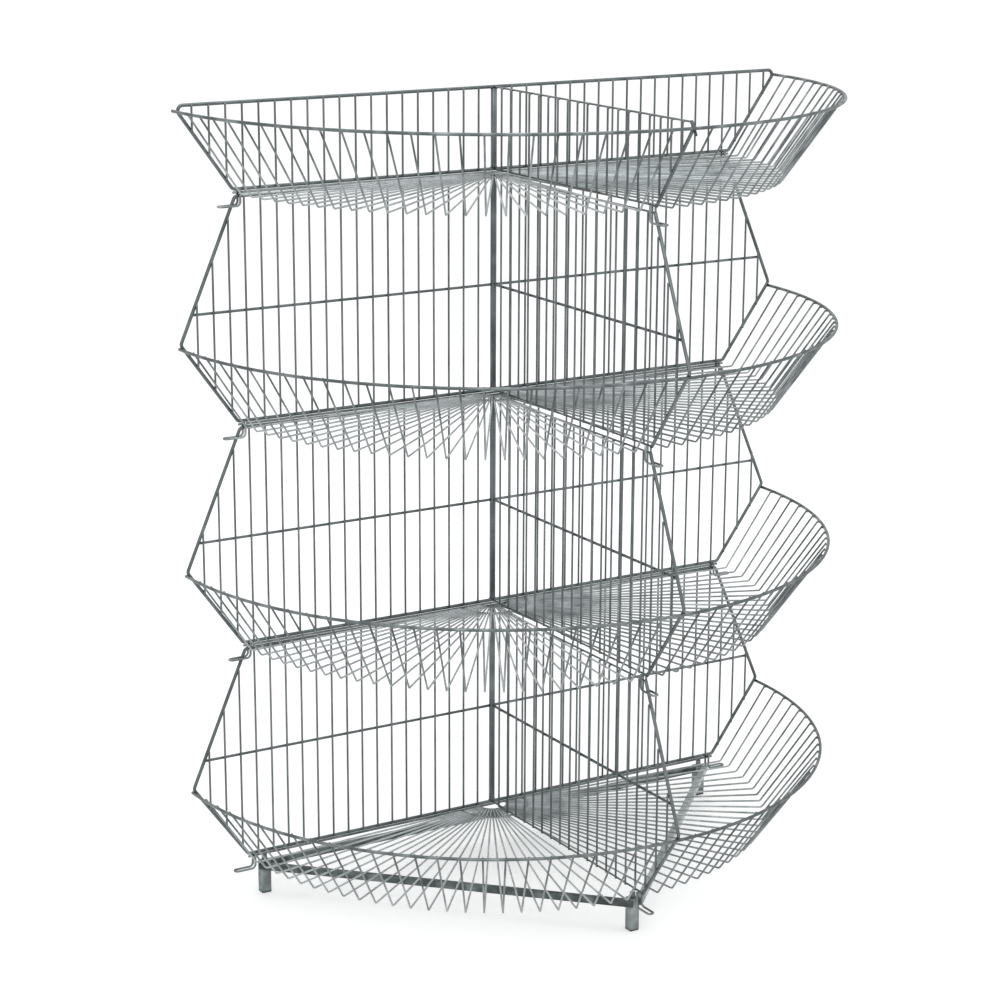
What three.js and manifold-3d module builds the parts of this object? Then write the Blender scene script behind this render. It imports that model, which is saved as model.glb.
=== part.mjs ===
// Half-round stacking basket stand: four tiers of quarter-round wire baskets on a low three-legged base.
// Millimetres, Z up. Each tier lifts straight up off the one below it.
import * as THREE from 'three';
import { mergeVertices } from 'three/addons/utils/BufferGeometryUtils.js';
import Module from 'manifold-3d';

// Plan of a tier, measured from the middle of the flat back
const RIM_RADIUS = 500;
const BASKET_FLARE = 84;
const PANEL_TAPER = 87;
const HUB_RADIUS = 55;

// Heights in a tier: its corner above its floor rail, and other lines below or above that corner
const TIER_PITCH = 325;
const CORNER_HEIGHT = 116;
const RIM_DROP = 6;
const MID_RAIL_RISE = 40.5;
const LOW_PANEL_RISE = 2;
const LOW_PANEL_INSET = 9;

// Wires and rods
const FRAME_WIRE = 4.5;
const FILL_WIRE = 2.8;
const RIM_WIRE = 4.5;
const FLOOR_ROD = 4;
const MID_RAIL_WIRE = 4;
const POST_DIAMETER = 9;
const POST_SIDES = 8;
const HOOK_WIRE = 4.5;
const WELD_DEPTH = 0.4;

// Wire patterns
const FIRST_UPRIGHT = 27.6;
const UPRIGHT_PITCH = 24.9;
const WIRES_PER_BASKET = 24;
const WIRES_PER_RIM_STEP = 2;
const WIRES_PER_HUB_STEP = 7;

// Retaining loops under the three corners of a tier
const HOOK_INSET = 9;
const HOOK_DROP = 23;
const HOOK_REACH = 33;
const HOOK_BEND = 6;
const HOOK_BEND_STEPS = 2;
const HOOK_TURN_STEPS = 4;

// Base
const TIER_COUNT = 4;
const BASE_HEIGHT = 64.5;
const LEG_CLEARANCE = 7.25;
const LEG_SIDE = 15;
const LEG_TOP_DROP = 15.5;
const BAR_SIDE = 10;
const BAR_OUTSET = 10;
const PLUG_THICKNESS = 2;
const STUD_DIAMETER = 8;

// Clearance between pieces that touch
const GAP = 0.3;

const QUARTER = Math.PI / 2;
const LEFT = Math.PI;
const FRONT = 3 * QUARTER;
const RIGHT = 2 * Math.PI;

// Places that follow from the sizes above
const FLOOR_RADIUS = RIM_RADIUS - BASKET_FLARE;
const PANEL_TOP_RADIUS = RIM_RADIUS - PANEL_TAPER;
const RIM_HEIGHT = CORNER_HEIGHT - RIM_DROP;
const MID_RAIL_HEIGHT = CORNER_HEIGHT + MID_RAIL_RISE;
const LOW_PANEL_HEIGHT = CORNER_HEIGHT + LOW_PANEL_RISE;
const HOOK_RADIUS = FLOOR_RADIUS - HOOK_INSET;
const LEG_RADIUS = HOOK_RADIUS - HOOK_WIRE / 2 - LEG_CLEARANCE - LEG_SIDE / 2;
const RAIL_CLEARANCE = FRAME_WIRE / 2 + GAP;
const FLOOR_DROP = RAIL_CLEARANCE + FLOOR_ROD / 2;
const STACK_DROP = FLOOR_DROP + FLOOR_ROD / 2 + RAIL_CLEARANCE;
const PANEL_HEIGHT = TIER_PITCH - STACK_DROP;
const UPPER_SLANT = PANEL_TAPER / (PANEL_HEIGHT - CORNER_HEIGHT);
const LOWER_SLANT = BASKET_FLARE / CORNER_HEIGHT;
const LOOP_SPREAD = RAIL_CLEARANCE + HOOK_WIRE / 2;
const UPRIGHT_SETOUT = (FRAME_WIRE - FILL_WIRE) / 2 - WELD_DEPTH;
const MID_RAIL_SETBACK = FILL_WIRE / 2 + GAP + MID_RAIL_WIRE / 2 - UPRIGHT_SETOUT;
const MID_RAIL_START = POST_DIAMETER / 2 + GAP;
const WIRE_STEP = QUARTER / (WIRES_PER_BASKET + 1);

const STEEL_WIRE = { color: 0x8b9391, roughness: 0.34, metalness: 0.9 };
const STEEL_FRAME = { color: 0x838b89, roughness: 0.32, metalness: 0.9 };
const STEEL_TUBE = { color: 0x6f7876, roughness: 0.42, metalness: 0.85 };
const FOOT_PLASTIC = { color: 0x4b504f, roughness: 0.6, metalness: 0 };

const wasm = await Module();
wasm.setup();

function toSolid(geometry) {
  const bare = geometry.clone();
  bare.deleteAttribute('normal');
  bare.deleteAttribute('uv');
  const merged = mergeVertices(bare, 1e-4);
  const vertProperties = new Float32Array(merged.attributes.position.array);
  const triVerts = new Uint32Array(merged.index.array);
  return new wasm.Manifold(new wasm.Mesh({ numProp: 3, vertProperties, triVerts }));
}

// Joins overlapping solids of one weldment into a single closed body
function weld(solids) {
  const mesh = wasm.Manifold.union(solids).getMesh();
  const geometry = new THREE.BufferGeometry();
  geometry.setAttribute('position', new THREE.BufferAttribute(new Float32Array(mesh.vertProperties), 3));
  geometry.setIndex(new THREE.BufferAttribute(new Uint32Array(mesh.triVerts), 1));
  return geometry;
}

function piece(name, geometry, finish) {
  const mesh = new THREE.Mesh(geometry, new THREE.MeshStandardMaterial(finish));
  mesh.name = name;
  return mesh;
}

// Flat outline, extruded evenly to both sides of its plane
function plate(outline, thickness, hole) {
  const shape = new THREE.Shape(outline);
  if (hole) {
    shape.holes.push(new THREE.Path(hole));
  }
  const geometry = new THREE.ExtrudeGeometry(shape, { depth: thickness, bevelEnabled: false });
  return geometry.translate(0, 0, -thickness / 2);
}

// Turns a flat outline upright, so that its second coordinate becomes the height
function stand(geometry) {
  return geometry.rotateX(QUARTER);
}

// Points at a set distance to the left of a polyline, with mitred corners
function offsetLine(points, distance, closed) {
  const count = points.length;
  return points.map((point, i) => {
    const hasBefore = closed || i > 0;
    const hasAfter = closed || i < count - 1;
    const before = points[(i + count - 1) % count];
    const after = points[(i + 1) % count];
    const into = new THREE.Vector2().subVectors(point, before).normalize();
    const out = new THREE.Vector2().subVectors(after, point).normalize();
    const first = hasBefore ? into : out;
    const second = hasAfter ? out : into;
    const side = new THREE.Vector2(-first.y - second.y, first.x + second.x).normalize();
    const stretch = 1 / (side.x * -first.y + side.y * first.x);
    return point.clone().addScaledVector(side, distance * stretch);
  });
}

// Upright strip of square wire that follows a polyline in its own plane
function bentWire(points, width) {
  const left = offsetLine(points, width / 2, false);
  const right = offsetLine(points, -width / 2, false);
  return stand(plate([...right, ...left.reverse()], width));
}

// A path given by its stations, so that straight runs take one step and bends take several
class StationPath extends THREE.Curve {
  constructor(stations) {
    super();
    this.stations = stations;
  }

  getPoint(t, target = new THREE.Vector3()) {
    const last = this.stations.length - 1;
    const whole = Math.min(Math.floor(t * last + 1e-9), last - 1);
    return target.lerpVectors(this.stations[whole], this.stations[whole + 1], t * last - whole);
  }

  getPointAt(u, target) {
    return this.getPoint(u, target);
  }

  getTangentAt(u, target = new THREE.Vector3()) {
    const last = this.stations.length - 1;
    const i = Math.round(u * last);
    const before = this.stations[Math.max(i - 1, 0)];
    const after = this.stations[Math.min(i + 1, last)];
    const here = this.stations[i];
    const into = new THREE.Vector3().subVectors(here, before).normalize();
    const out = new THREE.Vector3().subVectors(after, here).normalize();
    return target.addVectors(into, out).normalize();
  }
}

function squareSection(side) {
  const half = side / 2;
  return new THREE.Shape([
    new THREE.Vector2(-half, -half),
    new THREE.Vector2(half, -half),
    new THREE.Vector2(half, half),
    new THREE.Vector2(-half, half),
  ]);
}

function sweep(stations, side) {
  const extrudePath = new StationPath(stations);
  const settings = { steps: stations.length - 1, extrudePath, bevelEnabled: false };
  return new THREE.ExtrudeGeometry(squareSection(side), settings);
}

function arcStations(radius, height, angles) {
  return angles.map((angle) => new THREE.Vector3(radius * Math.cos(angle), radius * Math.sin(angle), height));
}

// Half width of a panel's frame at a height, and the heights of its frame at a distance from the middle
function frameReach(height) {
  if (height < CORNER_HEIGHT) {
    return FLOOR_RADIUS + LOWER_SLANT * height;
  }
  return RIM_RADIUS - UPPER_SLANT * (height - CORNER_HEIGHT);
}

function frameBottom(distance) {
  return Math.max(0, (distance - FLOOR_RADIUS) / LOWER_SLANT);
}

function frameTop(distance, panelHeight) {
  return Math.min(panelHeight, CORNER_HEIGHT + (RIM_RADIUS - distance) / UPPER_SLANT);
}

// Right-hand half of a panel's frame, from the floor rail up to the top rail.
// A tall panel leans back in above its corner, a low one ends in a short step above the rim.
function frameCorners(panelHeight) {
  const foot = new THREE.Vector2(FLOOR_RADIUS, 0);
  if (panelHeight < MID_RAIL_HEIGHT) {
    const shoulder = new THREE.Vector2(frameReach(RIM_HEIGHT), RIM_HEIGHT);
    return [foot, shoulder, new THREE.Vector2(RIM_RADIUS - LOW_PANEL_INSET, panelHeight)];
  }
  const corner = new THREE.Vector2(RIM_RADIUS, CORNER_HEIGHT);
  return [foot, corner, new THREE.Vector2(PANEL_TOP_RADIUS, panelHeight)];
}

// Uprights are welded into the frame, near the front of its rods
function upright(distance, panelHeight) {
  const low = frameBottom(Math.abs(distance));
  const high = frameTop(Math.abs(distance), panelHeight);
  const geometry = new THREE.BoxGeometry(FILL_WIRE, FILL_WIRE, high - low);
  return geometry.translate(distance, -UPRIGHT_SETOUT, (high + low) / 2);
}

// Distances of the uprights from the middle, the last one half a pitch or more from the corner
function uprightDistances() {
  const count = Math.floor((RIM_RADIUS - FIRST_UPRIGHT) / UPRIGHT_PITCH + 0.5);
  return Array.from({ length: count }, (unused, i) => FIRST_UPRIGHT + i * UPRIGHT_PITCH);
}

function backPanel(panelHeight) {
  const right = frameCorners(panelHeight);
  const left = right.map((p) => new THREE.Vector2(-p.x, p.y)).reverse();
  const loop = [...right, ...left];
  const outer = offsetLine(loop, -FRAME_WIRE / 2, true);
  const inner = offsetLine(loop, FRAME_WIRE / 2, true);
  const frame = stand(plate(outer, FRAME_WIRE, inner));
  const wires = uprightDistances().flatMap((d) => [upright(d, panelHeight), upright(-d, panelHeight)]);
  return weld([frame, ...wires].map(toSolid));
}

function dividerPanel(panelHeight) {
  const corners = frameCorners(panelHeight);
  const start = new THREE.Vector2(RAIL_CLEARANCE, 0);
  const end = new THREE.Vector2(RAIL_CLEARANCE, panelHeight);
  const frame = bentWire([start, ...corners, end], FRAME_WIRE);
  const wires = uprightDistances().map((d) => upright(d, panelHeight));
  return weld([frame, ...wires].map(toSolid)).rotateZ(-QUARTER);
}

// How far a mid rail runs before it meets the inside of the frame
function midRailReach() {
  const slantLength = Math.hypot(1, UPPER_SLANT);
  const topEdge = MID_RAIL_HEIGHT + MID_RAIL_WIRE / 2;
  return frameReach(topEdge) - (FRAME_WIRE / 2) * slantLength - GAP;
}

function midRail(from, to) {
  const geometry = new THREE.BoxGeometry(to - from, MID_RAIL_WIRE, MID_RAIL_WIRE);
  return geometry.translate((from + to) / 2, MID_RAIL_SETBACK, MID_RAIL_HEIGHT);
}

// Stands on the floor rail and carries the top rail
function centrePost(panelHeight) {
  const length = panelHeight - 2 * RAIL_CLEARANCE;
  const rod = new THREE.CylinderGeometry(POST_DIAMETER / 2, POST_DIAMETER / 2, length, POST_SIDES);
  return rod.rotateX(QUARTER).translate(0, 0, panelHeight / 2);
}

// Side view of one basket wire, as its floor run and its front run, parted at the bend by the clearance.
// The floor run ends inside the hub ring, the front run is welded to the inside of the rim.
function basketWireRuns() {
  const hub = new THREE.Vector2(HUB_RADIUS - FLOOR_ROD / 4, -FLOOR_DROP);
  const bend = new THREE.Vector2(FLOOR_RADIUS, -FLOOR_DROP);
  const insideRim = RIM_RADIUS - (RIM_WIRE + FILL_WIRE) / 2 + WELD_DEPTH;
  const top = new THREE.Vector2(insideRim, RIM_HEIGHT + RIM_WIRE / 4);
  const slope = new THREE.Vector2().subVectors(top, bend).normalize();
  const left = offsetLine([hub, bend, top], FILL_WIRE / 2, false);
  const right = offsetLine([hub, bend, top], -FILL_WIRE / 2, false);
  const inward = new THREE.Vector2(-GAP / 2, 0);
  const upward = slope.multiplyScalar(GAP / 2);
  const floorRun = [right[0], right[1].clone().add(inward), left[1].clone().add(inward), left[0]];
  const frontRun = [right[1].clone().add(upward), right[2], left[2], left[1].clone().add(upward)];
  return { floorRun, frontRun };
}

function wireAngles(from) {
  return Array.from({ length: WIRES_PER_BASKET }, (unused, i) => from + (i + 1) * WIRE_STEP);
}

// Angles midway between wires, so that no wire is welded to a corner of its rim or hub ring
function anglesBetweenWires(from, first, last, wiresPerStep) {
  const angles = [];
  for (let wire = first; wire < last; wire += wiresPerStep) {
    angles.push(from + (wire + 0.5) * WIRE_STEP);
  }
  return angles;
}

// Copies of one wire, turned as solids so that their faces stay flat in the weld
function radialWires(run, angles) {
  const wire = toSolid(stand(plate(run, FILL_WIRE)));
  return angles.map((angle) => wire.rotate([0, 0, THREE.MathUtils.radToDeg(angle)]));
}

function floorRod(from, to) {
  const geometry = new THREE.BoxGeometry(to - from, FLOOR_ROD, FLOOR_ROD);
  return geometry.translate((from + to) / 2, 0, -FLOOR_DROP);
}

// Floor of both baskets: rods under the panels, and wires that fan out from a small half ring below the post
function basketFloor() {
  const lastGap = 2 * WIRES_PER_BASKET + 1;
  const corners = anglesBetweenWires(LEFT, 0, lastGap, WIRES_PER_HUB_STEP);
  const ringLine = arcStations(HUB_RADIUS, -FLOOR_DROP, [...corners, RIGHT - WIRE_STEP / 2]);
  const ring = sweep(ringLine, FLOOR_ROD);
  const rods = [floorRod(-FLOOR_RADIUS, FLOOR_RADIUS), floorRod(0, FLOOR_RADIUS).rotateZ(-QUARTER)];
  const wires = radialWires(basketWireRuns().floorRun, [...wireAngles(LEFT), ...wireAngles(FRONT)]);
  return weld([...[ring, ...rods].map(toSolid), ...wires]);
}

// Quarter of the round front: sloping wires under a rim wire that butts against the panel frames
function basketFront(from) {
  const endGap = RAIL_CLEARANCE / RIM_RADIUS;
  const corners = anglesBetweenWires(from, WIRES_PER_RIM_STEP, WIRES_PER_BASKET, WIRES_PER_RIM_STEP);
  const rimLine = arcStations(RIM_RADIUS, RIM_HEIGHT, [from + endGap, ...corners, from + QUARTER - endGap]);
  const wires = radialWires(basketWireRuns().frontRun, wireAngles(from));
  return weld([toSolid(sweep(rimLine, RIM_WIRE)), ...wires]);
}

// Stations round a bend in the plane of two unit directions
function bendStations(centre, alongFrom, alongTo, radius, steps) {
  return Array.from({ length: steps + 1 }, (unused, i) => {
    const turn = (QUARTER * i) / steps;
    return centre.clone()
      .addScaledVector(alongFrom, radius * Math.sin(turn))
      .addScaledVector(alongTo, -radius * Math.cos(turn));
  });
}

// Loop of wire: down on one side of the frame, out, round and back up on the other side
function retainingLoop() {
  const down = new THREE.Vector3(0, 0, -1);
  const out = new THREE.Vector3(1, 0, 0);
  const turnCentre = HOOK_RADIUS + HOOK_REACH - HOOK_WIRE / 2 - LOOP_SPREAD;
  const top = new THREE.Vector3(HOOK_RADIUS, -LOOP_SPREAD, -GAP);
  const bendCentre = new THREE.Vector3(HOOK_RADIUS + HOOK_BEND, -LOOP_SPREAD, HOOK_BEND - HOOK_DROP);
  const nearSide = [top, ...bendStations(bendCentre, down, out, HOOK_BEND, HOOK_BEND_STEPS)];
  const turn = Array.from({ length: HOOK_TURN_STEPS + 1 }, (unused, i) => {
    const angle = -QUARTER + (2 * QUARTER * i) / HOOK_TURN_STEPS;
    const along = turnCentre + LOOP_SPREAD * Math.cos(angle);
    return new THREE.Vector3(along, LOOP_SPREAD * Math.sin(angle), -HOOK_DROP);
  });
  const farSide = nearSide.map((p) => new THREE.Vector3(p.x, -p.y, p.z)).reverse();
  return sweep([...nearSide, ...turn, ...farSide], HOOK_WIRE);
}

function tier(number) {
  const group = new THREE.Group();
  const isTop = number === TIER_COUNT;
  const panelHeight = isTop ? LOW_PANEL_HEIGHT : PANEL_HEIGHT;
  const add = (name, geometry, finish) => group.add(piece(`tier${number}_${name}`, geometry, finish));
  add('back_panel', backPanel(panelHeight), STEEL_FRAME);
  add('divider_panel', dividerPanel(panelHeight), STEEL_FRAME);
  add('centre_post', centrePost(panelHeight), STEEL_FRAME);
  add('floor', basketFloor(), STEEL_WIRE);
  add('front_left', basketFront(LEFT), STEEL_WIRE);
  add('front_right', basketFront(FRONT), STEEL_WIRE);
  if (!isTop) {
    const reach = midRailReach();
    add('mid_rail_left', midRail(-reach, -MID_RAIL_START), STEEL_FRAME);
    add('mid_rail_right', midRail(MID_RAIL_START, reach), STEEL_FRAME);
    add('mid_rail_divider', midRail(MID_RAIL_START, reach).rotateZ(-QUARTER), STEEL_FRAME);
  }
  add('loop_left', retainingLoop().rotateZ(LEFT), STEEL_WIRE);
  add('loop_front', retainingLoop().rotateZ(FRONT), STEEL_WIRE);
  add('loop_right', retainingLoop().rotateZ(RIGHT), STEEL_WIRE);
  group.position.z = BASE_HEIGHT + (number - 1) * TIER_PITCH;
  return group;
}

// Leg with its foot plug and the stud that carries the bottom tier's floor rod
function leg(place, angle) {
  const group = new THREE.Group();
  const tubeBottom = PLUG_THICKNESS + GAP;
  const tubeTop = BASE_HEIGHT - LEG_TOP_DROP;
  const studBottom = tubeTop + GAP;
  const studTop = BASE_HEIGHT - FLOOR_DROP - FLOOR_ROD / 2 - GAP;
  const tube = new THREE.BoxGeometry(LEG_SIDE, LEG_SIDE, tubeTop - tubeBottom);
  const plug = new THREE.BoxGeometry(LEG_SIDE, LEG_SIDE, PLUG_THICKNESS);
  const studRadius = STUD_DIAMETER / 2;
  const stud = new THREE.CylinderGeometry(studRadius, studRadius, studTop - studBottom, POST_SIDES);
  tube.translate(0, 0, (tubeTop + tubeBottom) / 2);
  plug.translate(0, 0, PLUG_THICKNESS / 2);
  stud.rotateX(QUARTER).translate(0, 0, (studTop + studBottom) / 2);
  group.add(piece(`leg_${place}`, tube, STEEL_TUBE));
  group.add(piece(`foot_plug_${place}`, plug, FOOT_PLASTIC));
  group.add(piece(`support_stud_${place}`, stud, STEEL_TUBE));
  group.position.set(LEG_RADIUS * Math.cos(angle), LEG_RADIUS * Math.sin(angle), 0);
  return group;
}

function backBar() {
  const length = 2 * (LEG_RADIUS - LEG_SIDE / 2 - GAP);
  return new THREE.BoxGeometry(length, BAR_SIDE, BAR_SIDE);
}

// Bar from the front of the left leg to the left of the front leg, set outwards and cut square to both faces
function chordBar() {
  const face = LEG_SIDE / 2 + GAP;
  const innerLine = (BAR_SIDE / 2 - BAR_OUTSET) * Math.SQRT2 - LEG_RADIUS;
  const outerLine = (-BAR_SIDE / 2 - BAR_OUTSET) * Math.SQRT2 - LEG_RADIUS;
  return [
    new THREE.Vector2(outerLine + face, -face),
    new THREE.Vector2(-face, outerLine + face),
    new THREE.Vector2(-face, innerLine + face),
    new THREE.Vector2(innerLine + face, -face),
  ];
}

function base() {
  const group = new THREE.Group();
  const barHeight = BASE_HEIGHT - LEG_TOP_DROP - BAR_SIDE / 2;
  const leftOutline = chordBar();
  const rightOutline = leftOutline.map((p) => new THREE.Vector2(-p.x, p.y)).reverse();
  const bars = [
    piece('base_back_bar', backBar(), STEEL_TUBE),
    piece('base_left_bar', plate(leftOutline, BAR_SIDE), STEEL_TUBE),
    piece('base_right_bar', plate(rightOutline, BAR_SIDE), STEEL_TUBE),
  ];
  bars.forEach((bar) => {
    bar.position.z = barHeight;
    group.add(bar);
  });
  group.add(leg('left', LEFT), leg('front', FRONT), leg('right', RIGHT));
  return group;
}

const basketStand = new THREE.Group();
basketStand.add(base());
for (let number = 1; number <= TIER_COUNT; number += 1) {
  basketStand.add(tier(number));
}

// The origin lies below the middle of the whole stand
const box = new THREE.Box3().setFromObject(basketStand);
basketStand.position.y = -(box.min.y + box.max.y) / 2;

export default basketStand;
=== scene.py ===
"""Half-round wire dump bin: round wire, welds and plated-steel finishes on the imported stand.

Lengths are in metres in the shared frame, +Z up, with the flat back towards +Y.
"""
import logging
import math
from dataclasses import dataclass
from enum import Enum

import bpy
import numpy as np
from mathutils import Matrix, Vector


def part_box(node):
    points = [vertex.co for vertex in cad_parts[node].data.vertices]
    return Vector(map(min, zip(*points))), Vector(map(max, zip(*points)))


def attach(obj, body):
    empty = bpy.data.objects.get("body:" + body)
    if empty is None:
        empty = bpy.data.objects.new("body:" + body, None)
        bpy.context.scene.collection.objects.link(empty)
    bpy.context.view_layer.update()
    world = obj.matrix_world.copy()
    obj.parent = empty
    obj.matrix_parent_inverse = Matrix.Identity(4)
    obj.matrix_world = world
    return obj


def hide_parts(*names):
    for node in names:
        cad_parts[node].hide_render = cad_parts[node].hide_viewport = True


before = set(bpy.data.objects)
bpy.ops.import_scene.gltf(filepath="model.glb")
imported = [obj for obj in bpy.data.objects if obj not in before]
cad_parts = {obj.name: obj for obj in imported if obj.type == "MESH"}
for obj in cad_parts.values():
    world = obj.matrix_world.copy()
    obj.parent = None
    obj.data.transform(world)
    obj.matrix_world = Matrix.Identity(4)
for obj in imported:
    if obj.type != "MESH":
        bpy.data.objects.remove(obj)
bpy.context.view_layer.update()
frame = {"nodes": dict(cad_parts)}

LOG = logging.getLogger("dump_bin")
MM = 0.001
SEED = 31
TIER_COUNT = 4

Array = np.ndarray

# The frame's three directions
RIGHTWARD, BACKWARD, UPWARD = np.eye(3)


class Slot(Enum):
    """Material slots of the record that the pieces take their finish from."""

    FRAME_WIRE = "frame_wire"
    FILL_WIRE = "fill_wire"
    BASE_TUBE = "base_tube"
    FOOT_PLASTIC = "foot_plastic"


class Corner(Enum):
    """The three corners of the half-round plan, each with its angle seen from above."""

    LEFT = math.pi
    FRONT = 1.5 * math.pi
    RIGHT = 2.0 * math.pi

    @property
    def word(self) -> str:
        """The corner's name as the pieces spell it."""
        return self.name.lower()

    @property
    def outward(self) -> Array:
        """Unit vector from the middle of the back to the corner."""
        return np.array([math.cos(self.value), math.sin(self.value), 0.0])

    @property
    def leftward(self) -> Array:
        """Level unit vector square to the way to the corner, to its left seen from above."""
        return np.array([-math.sin(self.value), math.cos(self.value), 0.0])


def linear(code: str) -> tuple[float, float, float, float]:
    """Turns an sRGB hex colour to linear RGBA.

    Args:
        code: Six hex digits with a leading hash.

    Returns:
        The colour as a shader socket takes it.
    """
    values = np.array([int(code[i:i + 2], 16) for i in (1, 3, 5)]) / 255.0
    low, high = values / 12.92, ((values + 0.055) / 1.055) ** 2.4
    return (*np.where(values <= 0.04045, low, high).tolist(), 1.0)


def unit(vectors: Array) -> Array:
    """Scales vectors in the last axis to length one."""
    return vectors / np.linalg.norm(vectors, axis=-1, keepdims=True)


@dataclass
class Shell:
    """Closed surfaces with what a finish reads from them.

    Attributes:
        points: Places of the points, (n, 3).
        quads: Point numbers of the side faces, (q, 4).
        quad_uv: Metres round and along the surface at each corner of a side face, (q, 4, 2).
        caps: Point numbers of the end faces, (c, k).
        heat: 0 on bare plating, rising to 1 at a weld, (n,).
        tone: Lighter or darker plating that differs at random, plus painted light where light from above
            falls,
        about -1.5 where it is dullest to 2.5 where it is brightest, (n,).
        round_caps: True where the end faces go on the curve of the sides.
    """

    points: Array
    quads: Array
    quad_uv: Array
    caps: Array
    heat: Array
    tone: Array
    round_caps: bool = False


def grid_quads(grids: int, rows: int, columns: int, closed: bool) -> tuple[Array, Array, Array]:
    """Numbers the faces of equal grids that close on themselves across their columns.

    Args:
        grids: How many grids there are.
        rows: Rows of points in a grid.
        columns: Points in a row.
        closed: True where the last row joins the first.

    Returns:
        Faces (q, 4), and the row and the column of each face in its grid, (q,) each.
    """
    steps = rows if closed else rows - 1
    grid, row, column = np.meshgrid(np.arange(grids), np.arange(steps), np.arange(columns), indexing="ij")
    base = grid * rows * columns
    next_row, next_column = (row + 1) % rows, (column + 1) % columns
    faces = np.stack([
        base + row * columns + column,
        base + row * columns + next_column,
        base + next_row * columns + next_column,
        base + next_row * columns + column,
    ], axis=-1)
    return faces.reshape(-1, 4), row.ravel(), column.ravel()


def end_caps(grids: int, rows: int, columns: int) -> Array:
    """Numbers the end faces of equal grids: each first row, turned round to face out, and each last row.

    Args:
        grids: How many grids there are.
        rows: Rows of points in a grid.
        columns: Points in a row.

    Returns:
        Faces, (2 * grids, columns).
    """
    starts = np.arange(grids)[:, None] * rows * columns
    first = starts + np.arange(columns)[::-1]
    last = starts + (rows - 1) * columns + np.arange(columns)
    return np.vstack([first, last])


def tangents(paths: Array, closed: bool) -> Array:
    """Directions along polylines: the halfway direction between the runs before and after each point.

    Args:
        paths: Polylines, (w, p, 3).
        closed: True where they are rings.

    Returns:
        Unit tangents, (w, p, 3).
    """
    runs = unit(np.diff(paths, axis=1, append=paths[:, :1]))
    before = np.roll(runs, 1, axis=1)
    if not closed:
        runs[:, -1] = runs[:, -2]
        before[:, 0] = runs[:, 0]
    return unit(runs + before)


def carried_normals(paths: Array, first: Array) -> Array:
    """Carries a normal along polylines without twist.

    At each station the last normal loses its part along the new tangent and is scaled to length one.

    Args:
        paths: Polylines, (w, p, 3).
        first: Normal at the start of each, (w, 3).

    Returns:
        Normals, (w, p, 3).
    """
    along = tangents(paths, False)
    normals = [first]
    for station in range(paths.shape[1]):
        last = normals[-1]
        part = np.sum(last * along[:, station], axis=-1, keepdims=True)
        normals.append(unit(last - part * along[:, station]))
    return np.stack(normals[1:], axis=1)


def sweep(paths: Array, normals: Array, profile: Array, tone: Array, closed: bool = False,
          scale: Array | None = None, heat_reach: float = 7 * MM) -> Shell:
    """Carries a closed profile along many polylines at once.

    Surface in words: point (i, j) is station i, plus the profile's first coordinate at j along the
    normal, plus its second coordinate along the tangent crossed with the normal, times the scale at i.
    Heat falls by a factor of e in every heat_reach of distance from the nearer end.

    Args:
        paths: Polylines, (w, p, 3).
        normals: Unit normals at their stations, (w, p, 3).
        profile: Closed outline, anticlockwise, (m, 2).
        tone: Plating tone of each polyline, (w,), or of each of its stations, (w, p), where painted light
        varies along it.
        closed: True where the polylines are rings.
        scale: Size of the profile at each station, (p,), or None for one size.
        heat_reach: Distance over which the heat of the end welds fades.

    Returns:
        The swept surface.
    """
    wires, stations = paths.shape[:2]
    around = len(profile)
    along = tangents(paths, closed)
    second = np.cross(along, normals)
    size = np.ones(stations) if scale is None else scale
    offset = profile[:, 0, None] * normals[:, :, None] + profile[:, 1, None] * second[:, :, None]
    points = paths[:, :, None] + size[:, None, None] * offset
    quads, row, column = grid_quads(wires, stations, around, closed)

    ring = np.vstack([profile, profile[:1]])
    girth = np.concatenate([[0.0], np.cumsum(np.linalg.norm(np.diff(ring, axis=0), axis=1))])
    runs = np.linalg.norm(np.diff(paths, axis=1, append=paths[:, :1]), axis=2)
    reach = np.concatenate([np.zeros((wires, 1)), np.cumsum(runs, axis=1)], axis=1)
    wire = np.repeat(np.arange(wires), len(row) // wires)
    left, right = girth[column], girth[column + 1]
    low, high = reach[wire, row], reach[wire, row + 1]
    uv = np.stack([np.stack([left, low], -1), np.stack([right, low], -1),
                   np.stack([right, high], -1), np.stack([left, high], -1)], axis=1)

    length = reach[:, -2:-1]
    from_end = np.minimum(reach[:, :-1], length - reach[:, :-1])
    heat = np.zeros((wires, stations)) if closed else np.exp(-from_end / heat_reach)
    caps = np.empty((0, around), int) if closed else end_caps(wires, stations, around)
    tones = np.broadcast_to(tone.reshape(wires, -1), (wires, stations))
    return Shell(points.reshape(-1, 3), quads, uv, caps, np.repeat(heat.ravel(), around),
                 np.repeat(tones.ravel(), around))


def circle(radius: float, sides: int) -> Array:
    """Outline of a round wire: points at equal angles, anticlockwise."""
    angles = np.arange(sides) * 2.0 * np.pi / sides
    return radius * np.stack([np.cos(angles), np.sin(angles)], axis=1)


def rounded_square(side: float, radius: float, steps: int) -> Array:
    """Outline of a square tube: four quarter circles at the corners of a smaller square.

    Args:
        side: Outer side of the tube.
        radius: Outer corner radius.
        steps: Chords in each quarter circle.

    Returns:
        Points, anticlockwise, (4 * (steps + 1), 2).
    """
    quarter = np.arange(4)[:, None] * np.pi / 2.0
    angles = quarter + np.linspace(0.0, np.pi / 2.0, steps + 1)
    middle = quarter + np.pi / 4.0
    centre = math.sqrt(2.0) * (side / 2.0 - radius)
    across = centre * np.cos(middle) + radius * np.cos(angles)
    upward = centre * np.sin(middle) + radius * np.sin(angles)
    return np.stack([across.ravel(), upward.ravel()], axis=1)


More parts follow.
